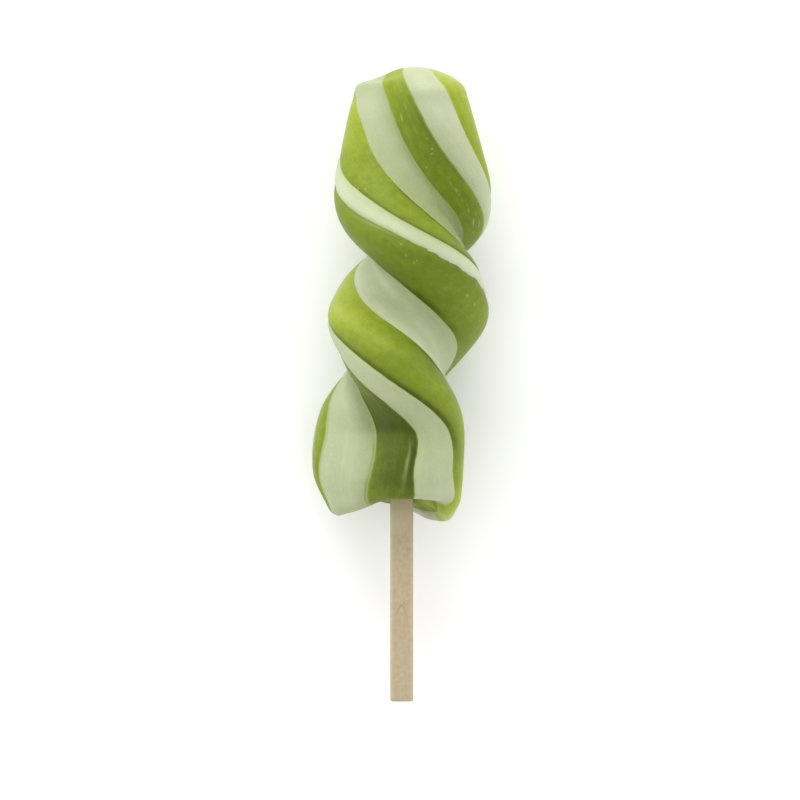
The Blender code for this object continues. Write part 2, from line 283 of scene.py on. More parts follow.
# A smooth curve through the keys, so that a seam has no kinks.
def flowing(keys, height):
    if height <= keys[0][0]:
        return keys[0][1]
    if height >= keys[-1][0]:
        return keys[-1][1]
    last = len(keys) - 1
    first = max(number for number in range(last) if keys[number][0] <= height)

    def slope(number):
        before, after = keys[max(number - 1, 0)], keys[min(number + 1, last)]
        return (after[1] - before[1]) / (after[0] - before[0]) if 0 < number < last else 0.0

    span = keys[first + 1][0] - keys[first][0]
    part = (height - keys[first][0]) / span
    rise = keys[first + 1][1] - keys[first][1]
    startSlope, endSlope = slope(first) * span, slope(first + 1) * span
    square = 3 * rise - 2 * startSlope - endSlope
    cube = startSlope + endSlope - 2 * rise
    return keys[first][1] + part * (startSlope + part * (square + part * cube))


# A smooth curve through values given every stationStep.
def along(stations, height):
    place = min(max(height / swirl["stationStep"], 0.0), len(stations) - 1.001)
    first = int(place)
    part = place - first
    before = stations[max(first - 1, 0)]
    start = stations[first]
    end = stations[first + 1]
    after = stations[min(first + 2, len(stations) - 1)]
    startSlope = (end - before) / 2
    endSlope = (after - start) / 2
    rise = end - start
    square = 3 * rise - 2 * startSlope - endSlope
    cube = startSlope + endSlope - 2 * rise
    return start + part * (startSlope + part * (square + part * cube))


def seamAngle(index, height):
    turns, index = divmod(index, len(stripes))
    low, middle, top = stripes[index]["starts"]
    levels = swirl["levels"]
    place = (height - levels[1]) / (levels[2] - levels[1])
    slope = (top - low) / 2
    bend = (top + low) / 2 - middle
    stray = flowing(stripes[index]["wander"], height)
    stray += keyed(stripes[index]["ragged"], height) * noise.noise(Vector((height * 1.6, index * 7.3, 0.5)))
    return middle + slope * place + bend * place * place + stray + 360 * turns


def sectionRadius(angle, height):
    radians = math.radians(angle)
    side = abs(math.sin(radians))
    face = abs(math.cos(radians))
    edge = swirl["edgeRadius"]
    offset = swirl["edgeOffset"]
    if edge * side <= offset * face:
        radius = edge / face
    else:
        radius = offset * side + math.sqrt(edge ** 2 - (offset * face) ** 2)
    start = swirl["valleyStart"]
    share = smooth((height - start) / (swirl["valleyFull"] - start))
    slips = (keyed(swirl["slip"], height), 0.0)
    for (middle, width, depth), slip in zip(swirl["valleys"], slips):
        away = (angle + slip - middle + 180) % 360 - 180
        radius -= share * depth * math.exp(-((away / width) ** 2))
    return radius * along(swirl["swell"], height)


# The same curve for keys that go once round the candy.
def roundThe(keys, place):
    count = len(stripes)
    before = tuple((key - count, value) for key, value in keys[-3:])
    after = tuple((key + count, value) for key, value in keys[:3])
    return flowing(before + keys + after, place % count)


# Which place round the candy an angle falls on, where the crown starts.
def crownPlace(angle):
    for index in range(len(stripes)):
        past = (angle - crownSeams[index]) % 360
        width = crownSeams[index + 1] - crownSeams[index]
        if past < width:
            return index + past / width
    return 0.0


# Height of the crown over a spot, given by its place round the candy and its share of the radius.
def crownHeight(place, reach):
    fall = roundThe(swirl["crownFall"], place)
    corner = roundThe(swirl["crownCorner"], place)
    rise = swirl["crownTop"] - fall - swirl["crownStart"]
    dome = fall * (1 - smooth(reach / swirl["crownSpread"]))
    return swirl["crownStart"] + rise * (1 - reach ** corner) ** (1 / corner) + dome


# Height at which a ring's point is on its stripe: the uneven foot is worked in, and the crown counts on over its top.
def runHeight(ring, place):
    height = ring["height"]
    if ring["tilt"] > 0:
        return crownHeight(place, ring["reach"]) + swirl["crownRun"] * (1 - ring["reach"])
    if ring["tilt"] > -90:
        share = max(0.0, 1 - height / swirl["footBlend"])
        return height + roundThe(swirl["footRim"], place) * smooth(share)
    rim = roundThe(swirl["footRim"], place)
    return rim + (swirl["footMiddle"] - rim) * (1 - ring["reach"] ** 2)


def lapOf(ring):
    return mesh["crownLap"] if ring["tilt"] > 0 else mesh["footLap"]


# From the middle of the foot to the middle of the crown. reach is the share of the radius, trim is taken
# off it, and tilt turns from -90 on the foot's face through 0 on the skin to 90 on the crown's face.
def swirlRings():
    rings = []
    rounding = swirl["footRounding"]
    lap = mesh["footLap"]
    for share in (0.02, 0.14, 0.28, 0.42, 0.55, 0.68, lap - 0.001, lap, 0.9, 0.96):
        rings.append({"height": 0.0, "reach": share, "trim": rounding, "tilt": -90.0})
    steps = 6
    for step in range(steps + 1):
        tilt = -89.99 * (1 - step / steps)
        bend = math.radians(tilt)
        height = rounding * (1 + math.sin(bend))
        rings.append({"height": height, "reach": 1.0, "trim": rounding * (1 - math.cos(bend)), "tilt": tilt})
    stop = swirl["crownStart"]
    heights = [rounding]
    while heights[-1] < stop:
        here = heights[-1]
        turned = max(along(swirl["turn"], here + 1) - along(swirl["turn"], here), 1.0)
        heights.append(here + min(mesh["step"], mesh["turnStep"] / turned))
    stretch = (stop - rounding) / (heights[-1] - rounding)
    for height in heights[1:]:
        height = rounding + (height - rounding) * stretch
        rings.append({"height": height, "reach": 1.0, "trim": 0.0, "tilt": 0.0})
    steps = 24
    shares = [math.cos(math.pi / 2 * step / steps) for step in range(1, steps)]
    for share in sorted(shares + [mesh["crownLap"], mesh["crownLap"] - 0.001], reverse=True):
        rings.append({"height": stop, "reach": share, "trim": 0.0, "tilt": math.degrees(math.acos(share))})
    return rings


rings = swirlRings()
crownSeams = [seamAngle(index, swirl["crownStart"]) for index in range(len(stripes) + 1)]


# How deep the pale stripes are let in at this ring.
def bedDepth(ring):
    if ring["reach"] < lapOf(ring):
        return 0.0
    share = smooth((ring["reach"] - 0.7) / 0.3) * math.cos(math.radians(ring["tilt"]))
    return mesh["endDepth"] + (mesh["depth"] - mesh["endDepth"]) * share


def swellAt(angle, height):
    bend = math.radians(angle)
    spot = Vector((math.cos(bend) * 12, math.sin(bend) * 12, height * 0.6)) / swirl["unevenSize"]
    return noise.noise(spot) - 0.35


# A point of a stripe, a part of the way across it, sunk under the skin and inset from its seams.
def candyPoint(index, part, ring, sunk, inset):
    tilt = math.radians(ring["tilt"])
    height = runHeight(ring, index + part)
    if tilt < 0:
        height -= sunk * math.sin(tilt)
    start = seamAngle(index, height)
    end = seamAngle(index + 1, height)
    angle = start + (end - start) * part
    if tilt > 0:
        angle += along(swirl["turn"], ring["height"]) - along(swirl["turn"], height)
        height = ring["height"]
    turn = along(swirl["turn"], height)
    turnRate = math.radians(along(swirl["turn"], height + 1) - turn)
    reach = max(sectionRadius(angle, height) * ring["reach"] - sunk * math.cos(tilt), 0.3)
    angle += math.degrees(inset * math.hypot(1, reach * turnRate) * (1 - 2 * part) / reach)
    radius = sectionRadius(angle, height)
    halfWidth = math.radians(end - start) * radius / 2
    fromSeam = halfWidth * (1 - abs(2 * part - 1))
    radius -= swirl["cushion"] * abs(2 * part - 1) ** 4
    radius -= swirl["crease"] * math.exp(-((fromSeam / swirl["creaseWidth"]) ** 2))
    tuck = roundThe(swirl["footTuck"], index + part) * (1 - smooth(height / swirl["footTuckReach"]))
    radius = (radius - ring["trim"] - tuck) * ring["reach"] - sunk * math.cos(tilt)
    radius += swirl["unevenness"] * ring["reach"] * swellAt(angle, height)
    direction = math.radians(angle - turn)
    lean = along(swirl["lean"], height)
    across = radius * math.sin(direction)
    up = radius * math.cos(direction)
    if tilt > 0:
        meetingAcross, meetingUp = (part * (1 - ring["reach"]) for part in swirl["crownMeeting"])
        across += meetingAcross
        up += meetingUp
        plain = sectionRadius(angle, height) * ring["reach"]
        spotAcross = plain * math.sin(direction) + meetingAcross
        spotUp = plain * math.cos(direction) + meetingUp
        spotAngle = math.degrees(math.atan2(spotAcross, spotUp)) + turn
        share = min(math.hypot(spotAcross, spotUp) / sectionRadius(spotAngle, height), 1.0)
        narrow = along(swirl["swell"], height)
        height = crownHeight(crownPlace(spotAngle), share)
        narrow = along(swirl["swell"], height) / narrow
        across *= narrow
        up *= narrow
        height -= sunk * math.sin(tilt)
    return Vector((axisX + (lean + across) * mm, footY + height * mm, max(axisZ + up * mm, 0.0)))


# An open tube, one row of points for each ring, before it is given its shape.
def straightTube(name, around, rows):
    bpy.ops.object.select_all(action="DESELECT")
    bpy.ops.mesh.primitive_circle_add(vertices=around, radius=1, fill_type="NOTHING")
    tube = bpy.context.object
    tube.name = name
    tube.data.name = name
    bpy.ops.object.mode_set(mode="EDIT")
    bpy.ops.mesh.select_all(action="SELECT")
    for row in range(rows - 1):
        bpy.ops.mesh.extrude_region_move(TRANSFORM_OT_translate={"value": (0, 0, 1)})
    bpy.ops.object.mode_set(mode="OBJECT")
    return tube


def columnAndRow(point, around):
    angle = math.atan2(point.x, point.y) % (2 * math.pi)
    return round(angle * around / (2 * math.pi)) % around, round(point.z)


# Moves every point of a straight tube to its place on the candy, and paints what the materials read.
def wrapTube(tube, around, place, paint):
    tube.data.transform(tube.matrix_world)
    tube.matrix_world.identity()
    values = {name: [] for name in ("across", "run", "stripe", "part", "rim", "tone", "gleam", "bubbly")}
    for vertex in tube.data.vertices:
        column, row = columnAndRow(vertex.co, around)
        vertex.co = place(column, row)
        for name, value in paint(column, row).items():
            values[name].append(value)
    for name, numbers in values.items():
        layer = tube.data.attributes.new(name, "FLOAT", "POINT")
        layer.data.foreach_set("value", numbers)
    return tube


# Caps on the two open ends, doubles merged, faces turned outwards.
def closeEnds(tube, merge):
    bpy.context.view_layer.objects.active = tube
    tube.select_set(True)
    bpy.ops.object.mode_set(mode="EDIT")
    bpy.ops.mesh.select_all(action="DESELECT")
    bpy.ops.mesh.select_mode(type="EDGE")
    bpy.ops.mesh.select_non_manifold()
    bpy.ops.mesh.edge_face_add()
    bpy.ops.mesh.select_all(action="SELECT")
    if merge:
        bpy.ops.mesh.remove_doubles(threshold=merge * mm)
    bpy.ops.mesh.normals_make_consistent(inside=False)
    bpy.ops.object.mode_set(mode="OBJECT")


# Painted tone of a stripe at a spot, with painted light and shade of creases and folds.
def toneAt(index, part, height, width):
    tone = stripes[index]["tone"]
    low, middle, high = (keyed([(row[0], row[column]) for row in tone], height) for column in (1, 2, 3))
    if part < 0.5:
        value = low + (middle - low) * smooth(part * 2)
    else:
        value = middle + (high - middle) * smooth(part * 2 - 1)
    # painted shade in bands beside the seams, painted light where a strength is below zero
    for side, first, last, wide, strength in stripes[index]["seamShading"]:
        away = abs(part - side) * width - wide * 0.45
        share = smooth((height - first) / 4) * smooth((last - height) / 4)
        value -= strength * share * math.exp(-((away / wide) ** 2) * 2)
    return value


# Painted highlights at a spot, from the gleams of its stripe.
def gleamAt(index, part, height, width):
    light = 0.0
    for middleHeight, middlePart, length, wide, strength in stripes[index]["gleams"]:
        away = (part - middlePart) * width / wide
        beyond = (height - middleHeight) / length
        light += strength * math.exp(-(away ** 2) - beyond ** 2)
    return light


# Where bubbles gather at a spot, for their glints painted as lighter spots.
def bubbleGlintsAt(index, part, height, width):
    share = 0.0
    for middleHeight, middlePart, reach, amount in stripes[index]["bubbleGlints"]:
        away = math.hypot((part - middlePart) * width, height - middleHeight) / reach
        share = max(share, amount * math.exp(-(away ** 2)))
    return share


def stripeWidth(index, height):
    start = seamAngle(index, height)
    end = seamAngle(index + 1, height)
    return math.radians(end - start) * sectionRadius((start + end) / 2, height)


def paintOf(index, part, ring):
    height = runHeight(ring, index + part)
    width = stripeWidth(index, height)
    paint = {
        "across": (part - 0.5) * width,
        "run": height,
        "stripe": float(index),
        "part": part,
        "rim": width / 2 * (1 - abs(2 * part - 1)) * ring["reach"],
        "tone": toneAt(index, part, height, width),
        "gleam": gleamAt(index, part, height, width),
        "bubbly": bubbleGlintsAt(index, part, height, width),
    }
    if ring["reach"] < lapOf(ring):
        # inside the laps the ends get their own painted tone, painted light and shade on the foot's face included
        tone = keyed(faceToneAndShading, ring["reach"]) if ring["tilt"] < 0 else 0.72
        paint.update(rim=9.0, tone=tone, gleam=0.0, bubbly=0.0)
    return paint


# The whole bar of green sugar, with a bed sunk in it under each pale stripe.
def makeGreen():
    across = mesh["across"]
    around = across * len(stripes)

    def parts(column):
        index = column // across
        return index, (column % across) / (across - 1)

    def place(column, row):
        index, part = parts(column)
        ring = rings[row]
        if stripes[index]["sugar"] == "green":
            return candyPoint(index, part, ring, 0.0, -mesh["overlap"] / 2)
        return candyPoint(index, part, ring, bedDepth(ring), mesh["overlap"] / 2)

    def paint(column, row):
        index, part = parts(column)
        return paintOf(index, part, rings[row])

    bar = straightTube("greenCandy", around, len(rings))
    wrapTube(bar, around, place, paint)
    closeEnds(bar, 0.003)
    bar.data.shade_smooth()
    bar.data.set_sharp_from_angle(angle=math.radians(50))
    return bar


# A strip of pale sugar from one end's lap to the other's, closed all round.
def makePale(number, index):
    across = mesh["across"]
    around = across * 2
    rows = [ring for ring in rings if ring["reach"] >= lapOf(ring)]

    def place(column, row):
        ring = rows[row]
        inset = -mesh["overlap"] / 2
        if column < across:
            return candyPoint(index, column / (across - 1), ring, 0.0, inset)
        return candyPoint(index, (around - 1 - column) / (across - 1), ring, bedDepth(ring), inset)

    def paint(column, row):
        part = column if column < across else around - 1 - column
        return paintOf(index, part / (across - 1), rows[row])

    strip = straightTube(f"paleStripe{number}", around, len(rows))
    wrapTube(strip, around, place, paint)
    closeEnds(strip, 0.0)
    strip.data.shade_smooth()
    strip.data.set_sharp_from_angle(angle=math.radians(50))
    return strip


greenCandy = makeGreen()
print("green candy shaped")
paleStripes = []
for index, stripe in enumerate(stripes):
    if stripe["sugar"] == "pale":
        paleStripes.append(makePale(len(paleStripes) + 1, index))
print("pale stripes shaped")


# ---- stick ----

stickShape = {
    "corner": 0.5,  # mm, rounding of the free end's corners
    "ease": 0.35,  # mm, rounding of the long edges
}


def makeStick():
    bpy.ops.object.select_all(action="DESELECT")
    middle = (stickLow + stickHigh) / 2
    bpy.ops.mesh.primitive_cube_add(size=1, location=middle)
    stick = bpy.context.object
    stick.name = "stickBar"
    stick.data.name = "stickBar"
    stick.scale = stickHigh - stickLow
    bpy.ops.object.transform_apply(location=True, rotation=True, scale=True)
    bpy.ops.object.mode_set(mode="EDIT")
    bpy.ops.mesh.select_mode(type="EDGE")
    bpy.ops.mesh.select_all(action="DESELECT")
    bpy.ops.object.mode_set(mode="OBJECT")
    for edge in stick.data.edges:
        ends = [stick.data.vertices[number].co for number in edge.vertices]
        edge.select = abs(ends[0].z - ends[1].z) > mm and (ends[0].y + ends[1].y) / 2 < middle.y
    bpy.ops.object.mode_set(mode="EDIT")
    bpy.ops.mesh.bevel(offset=stickShape["corner"] * mm, segments=6)
    bpy.ops.object.mode_set(mode="OBJECT")
    ease = stick.modifiers.new("ease", "BEVEL")
    ease.width = stickShape["ease"] * mm
    ease.segments = 4
    ease.limit_method = "ANGLE"
    ease.angle_limit = math.radians(40)
    bpy.ops.object.modifier_apply(modifier=ease.name)
    stick.data.shade_smooth()
    stick.data.set_sharp_from_angle(angle=math.radians(35))
    return stick


stickBar = makeStick()
print("stick shaped")


# ---- materials ----


# Puts another node's output, or a plain number, on a socket.
def feed(tree, socket, value):
    if isinstance(value, bpy.types.NodeSocket):
        tree.links.new(value, socket)
    else:
        socket.default_value = value


def math2(tree, operation, first, second=0.0, third=0.0):
    node = tree.nodes.new("ShaderNodeMath")
    node.operation = operation
    for socket, value in zip(node.inputs, (first, second, third)):
        feed(tree, socket, value)
    return node.outputs[0]


def vectorOf(tree, across, run, other):
    node = tree.nodes.new("ShaderNodeCombineXYZ")
    for socket, value in zip(node.inputs, (across, run, other)):
        feed(tree, socket, value)
    return node.outputs[0]


def easedBetween(tree, value, low, high, atLow=0.0, atHigh=1.0):
    node = tree.nodes.new("ShaderNodeMapRange")
    node.interpolation_type = "SMOOTHSTEP"
    for name, number in (("Value", value), ("From Min", low), ("From Max", high), ("To Min", atLow), ("To Max", atHigh)):
        feed(tree, node.inputs[name], number)
    return node.outputs["Result"]


def painted(tree, name):
    node = tree.nodes.new("ShaderNodeAttribute")
    node.attribute_name = name
    return node.outputs["Fac"]


def noiseOf(tree, vector, detail=2.0, rough=0.5):
    node = tree.nodes.new("ShaderNodeTexNoise")
    node.inputs["Scale"].default_value = 1.0
    node.inputs["Detail"].default_value = detail
    node.inputs["Roughness"].default_value = rough
    tree.links.new(vector, node.inputs["Vector"])
    return node.outputs["Fac"]


def colourRamp(tree, value, stops):
    node = tree.nodes.new("ShaderNodeValToRGB")
    node.color_ramp.interpolation = "LINEAR"
    while len(node.color_ramp.elements) < len(stops):
        node.color_ramp.elements.new(0.5)
    for element, (place, colour) in zip(node.color_ramp.elements, stops):
        element.position = place
        element.color = (*colour, 1)
    tree.links.new(value, node.inputs["Fac"])
    return node.outputs["Color"]


def mixColour(tree, share, first, second):
    node = tree.nodes.new("ShaderNodeMix")
    node.data_type = "RGBA"
    feed(tree, node.inputs[0], share)
    feed(tree, node.inputs[6], first if isinstance(first, bpy.types.NodeSocket) else (*first, 1))
    feed(tree, node.inputs[7], second if isinstance(second, bpy.types.NodeSocket) else (*second, 1))
    return node.outputs[2]


def newGroup(name, inputs, outputs):
    group = bpy.data.node_groups.new(name, "ShaderNodeTree")
    for label, kind in inputs:
        group.interface.new_socket(label, in_out="INPUT", socket_type=f"NodeSocket{kind}")
    for label, kind in outputs:
        group.interface.new_socket(label, in_out="OUTPUT", socket_type=f"NodeSocket{kind}")
    return group, group.nodes.new("NodeGroupInput").outputs, group.nodes.new("NodeGroupOutput").inputs


def placeGroup(tree, group, **values):
    node = tree.nodes.new("ShaderNodeGroup")
    node.node_tree = group
    for name, value in values.items():
        feed(tree, node.inputs[name], value)
    return node.outputs


# Fine lines drawn out along a stripe as the sugar is pulled. Width and Length are in mm.
def pulledStreaks():
    group, given, out = newGroup(
        "pulledStreaks",
        (("Across", "Float"), ("Run", "Float"), ("Stripe", "Float"), ("Width", "Float"), ("Length", "Float")),
        (("Shade", "Float"),),
    )
    side = math2(group, "DIVIDE", given["Across"], given["Width"])
    lengthwise = math2(group, "DIVIDE", given["Run"], given["Length"])
    offset = math2(group, "MULTIPLY", given["Stripe"], 7.3)
    found = noiseOf(group, vectorOf(group, side, lengthwise, offset), 2.0, 0.6)
    feed(group, out["Shade"], math2(group, "MULTIPLY", math2(group, "SUBTRACT", found, 0.5), 2.0))
    return group


# Cloudiness or grain in the sugar, by place in the piece. Size is in metres.
def sugarCloud():
    group, given, out = newGroup("sugarCloud", (("Size", "Float"), ("Detail", "Float")), (("Shade", "Float"),))
    place = group.nodes.new("ShaderNodeTexCoord").outputs["Object"]
    scaled = group.nodes.new("ShaderNodeVectorMath")
    scaled.operation = "SCALE"
    group.links.new(place, scaled.inputs[0])
    feed(group, scaled.inputs["Scale"], math2(group, "DIVIDE", 1.0, given["Size"]))
    node = group.nodes.new("ShaderNodeTexNoise")
    node.inputs["Scale"].default_value = 1.0
    group.links.new(given["Detail"], node.inputs["Detail"])
    group.links.new(scaled.outputs[0], node.inputs["Vector"])
    feed(group, out["Shade"], math2(group, "MULTIPLY", math2(group, "SUBTRACT", node.outputs["Fac"], 0.5), 2.0))
    return group


# Small round bubbles, their glints painted in as lighter spots, only where Where is painted. Spacing and Radius are
# in metres.
def sugarBubbleGlints():
    group, given, out = newGroup(
        "sugarBubbleGlints", (("Spacing", "Float"), ("Radius", "Float"), ("Where", "Float")), (("Mask", "Float"),)
    )
    cells = group.nodes.new("ShaderNodeTexVoronoi")
    group.links.new(group.nodes.new("ShaderNodeTexCoord").outputs["Object"], cells.inputs["Vector"])
    feed(group, cells.inputs["Scale"], math2(group, "DIVIDE", 1.0, given["Spacing"]))
    pick = group.nodes.new("ShaderNodeSeparateColor")
    group.links.new(cells.outputs["Color"], pick.inputs["Color"])
    reach = math2(group, "DIVIDE", given["Radius"], given["Spacing"])
    size = math2(group, "MULTIPLY", reach, math2(group, "ADD", math2(group, "MULTIPLY", pick.outputs["Green"], 0.9), 0.5))
    spot = easedBetween(group, cells.outputs["Distance"], math2(group, "MULTIPLY", size, 0.3), size, 1.0, 0.0)
    kept = math2(group, "LESS_THAN", pick.outputs["Red"], given["Where"])
    feed(group, out["Mask"], math2(group, "MULTIPLY", spot, kept))
    return group


# One bubble or short scratch at a known place, as the mask of the lighter spot painted for its glint. AtAcross,
# AtRun, Width and Length are in mm, Lean is how far its line leans across the stripe for each mm along the candy.
def sugarFleckGlint():
    group, given, out = newGroup(
        "sugarFleckGlint",
        (
            ("Across", "Float"), ("Run", "Float"), ("Stripe", "Float"), ("AtAcross", "Float"), ("AtRun", "Float"),
            ("AtStripe", "Float"), ("Width", "Float"), ("Length", "Float"), ("Lean", "Float"), ("Strength", "Float"),
        ),
        (("Mask", "Float"),),
    )
    lengthwise = math2(group, "SUBTRACT", given["Run"], given["AtRun"])
    side = math2(group, "SUBTRACT", given["Across"], given["AtAcross"])
    side = math2(group, "SUBTRACT", side, math2(group, "MULTIPLY", lengthwise, given["Lean"]))
    side = math2(group, "DIVIDE", side, given["Width"])
    lengthwise = math2(group, "DIVIDE", lengthwise, given["Length"])
    away = math2(group, "SQRT", math2(group, "MULTIPLY_ADD", side, side, math2(group, "MULTIPLY", lengthwise, lengthwise)))
    spot = easedBetween(group, away, 0.25, 1.0, 1.0, 0.0)
    same = math2(group, "COMPARE", given["Stripe"], given["AtStripe"], 0.4)
    spot = math2(group, "MULTIPLY", spot, same)
    feed(group, out["Mask"], math2(group, "MULTIPLY", spot, given["Strength"]))
    return group


# How close to a seam, from 1 at the seam to 0 at Width mm from it.
def seamNearness():
    group, given, out = newGroup("seamNearness", (("Rim", "Float"), ("Width", "Float")), (("Mask", "Float"),))
    feed(group, out["Mask"], easedBetween(group, given["Rim"], 0.0, given["Width"], 1.0, 0.0))
    return group


sugarGroups = {
    "streaks": pulledStreaks(),
    "cloud": sugarCloud(),
    "bubbleGlints": sugarBubbleGlints(),
    "fleckGlint": sugarFleckGlint(),
    "nearness": seamNearness(),
}

greenLook = {
    # how light the green is painted, painted light and shade included, and its colour there
    "colours": (
        (0.00, (0.042, 0.061, 0.005)),
        (0.25, (0.092, 0.127, 0.009)),
        (0.50, (0.171, 0.224, 0.016)),
        (0.75, (0.287, 0.353, 0.027)),
        (1.00, (0.425, 0.477, 0.150)),
    ),
    "streaks": 0.07, "streakWidth": 0.45, "streakLength": 10.0,
    "cloud": 0.11, "cloudSize": 1.9,
    "grain": 0.085, "grainSize": 0.34,
    "bleed": (0.36, 0.45, 0.14), "bleedWidth": 0.35, "bleedShare": 0.35,
    # colour of the painted highlights
    "gleam": (0.40, 0.46, 0.22),
    # lighter colour painted for the glints of bubbles and scratches
    "bubbleGlint": (0.38, 0.45, 0.15), "bubbleGlintMix": 0.7, "bubbleGlintSpacing": 1.1, "bubbleGlintRadius": 0.22,
    # single bubbles and scratches, their glints painted in as lighter spots: stripe, height, part of the way across,
    # width, length, lean, strength
    "fleckGlints": (
        (2, 87.2, 0.33, 0.26, 1.3, 0.13, 0.80), (2, 89.6, 0.67, 0.24, 1.1, 0.15, 0.40), (2, 91.3, 0.55, 0.24, 0.9, 0.20, 0.22),
        (2, 84.6, 0.62, 0.24, 0.6, 0.30, 0.22), (2, 79.3, 0.70, 0.38, 0.36, 0.60, 0.42), (2, 81.0, 0.52, 0.30, 0.30, 0.55, 0.20),
        (2, 76.6, 0.65, 0.32, 0.30, 0.70, 0.32), (2, 74.3, 0.68, 0.32, 0.34, 0.55, 0.40), (2, 73.0, 0.60, 0.22, 0.60, 0.40, 0.38),
        (2, 71.6, 0.57, 0.25, 0.65, 0.40, 0.52), (2, 69.4, 0.48, 0.26, 0.45, 0.40, 0.40), (2, 67.4, 0.44, 0.22, 0.80, 0.35, 0.62),
        (2, 64.9, 0.42, 0.24, 1.25, 0.35, 0.90), (2, 64.6, 0.63, 0.24, 1.25, 0.35, 0.80), (2, 66.6, 0.60, 0.22, 0.55, 0.35, 0.34),
        (2, 62.8, 0.36, 0.28, 0.45, 0.40, 0.48), (2, 70.5, 0.53, 0.20, 0.40, 0.40, 0.34), (2, 68.5, 0.50, 0.20, 0.35, 0.40, 0.36),
        (6, 57.1, 0.70, 0.42, 0.42, 1.55, 0.45), (6, 55.6, 0.64, 0.38, 0.38, 1.55, 0.60),
        (6, 48.8, 0.58, 0.46, 0.46, 1.55, 0.70), (6, 46.9, 0.52, 0.42, 0.42, 1.50, 0.45), (6, 50.2, 0.50, 0.36, 0.36, 1.50, 0.20),
        (6, 59.4, 0.80, 0.30, 0.9, 1.20, 0.25), (6, 53.0, 0.72, 0.5, 0.3, 1.40, 0.22), (4, 24.8, 0.84, 0.24, 1.2, 0.70, 0.30),
        (4, 29.5, 0.90, 0.24, 1.5, 0.80, 0.30), (0, 71.8, 0.06, 0.36, 0.36, 0.90, 0.50), (0, 75.0, 0.10, 0.26, 0.26, 0.80, 0.30),
    ),
    "roughness": (0.34, 0.50),
    "scatterWeight": 0.25, "scatter": 0.5,
    "specular": 0.13,
    "bump": 0.05,
}

paleLook = {
    "colours": (
        (0.00, (0.164, 0.200, 0.065)),
        (0.25, (0.229, 0.269, 0.104)),
        (0.50, (0.313, 0.353, 0.183)),
        (0.75, (0.416, 0.452, 0.275)),
        (1.00, (0.527, 0.561, 0.397)),
    ),
    "streaks": 0.05, "streakWidth": 0.40, "streakLength": 7.0,
    "cloud": 0.06, "cloudSize": 2.6,
    "grain": 0.08, "grainSize": 0.32,
    "bleed": (0.34, 0.42, 0.10), "bleedWidth": 0.45, "bleedShare": 0.50,
    # colour of the painted highlights
    "gleam": (0.64, 0.68, 0.50),
    # lighter colour painted for the glints of bubbles and scratches
    "bubbleGlint": (0.52, 0.58, 0.22), "bubbleGlintMix": 0.45, "bubbleGlintSpacing": 1.2, "bubbleGlintRadius": 0.30,
    # single bubbles and scratches, their glints painted in as lighter spots, in the same columns as the green's
    "fleckGlints": (
        (1, 16.6, 0.16, 0.60, 0.50, 0.0, 0.70), (1, 17.8, 0.14, 0.30, 0.30, 0.0, 0.50), (1, 14.6, 0.18, 0.30, 0.5, 0.0, 0.45),
        (1, 11.0, 0.22, 0.45, 0.45, 0.0, 0.60), (1, 12.2, 0.16, 0.60, 0.40, 0.0, 0.50), (1, 10.2, 0.15, 0.5, 0.3, 0.0, 0.40),
        (7, 70.5, 0.30, 0.25, 0.6, 1.0, 0.30), (3, 83.0, 0.60, 1.2, 2.2, 0.5, 0.22), (3, 72.0, 0.62, 0.8, 2.5, 0.9, 0.20),
    ),
    "roughness": (0.38, 0.55),
    "scatterWeight": 0.3, "scatter": 0.5,
    "specular": 0.22,
    "bump": 0.05,
}


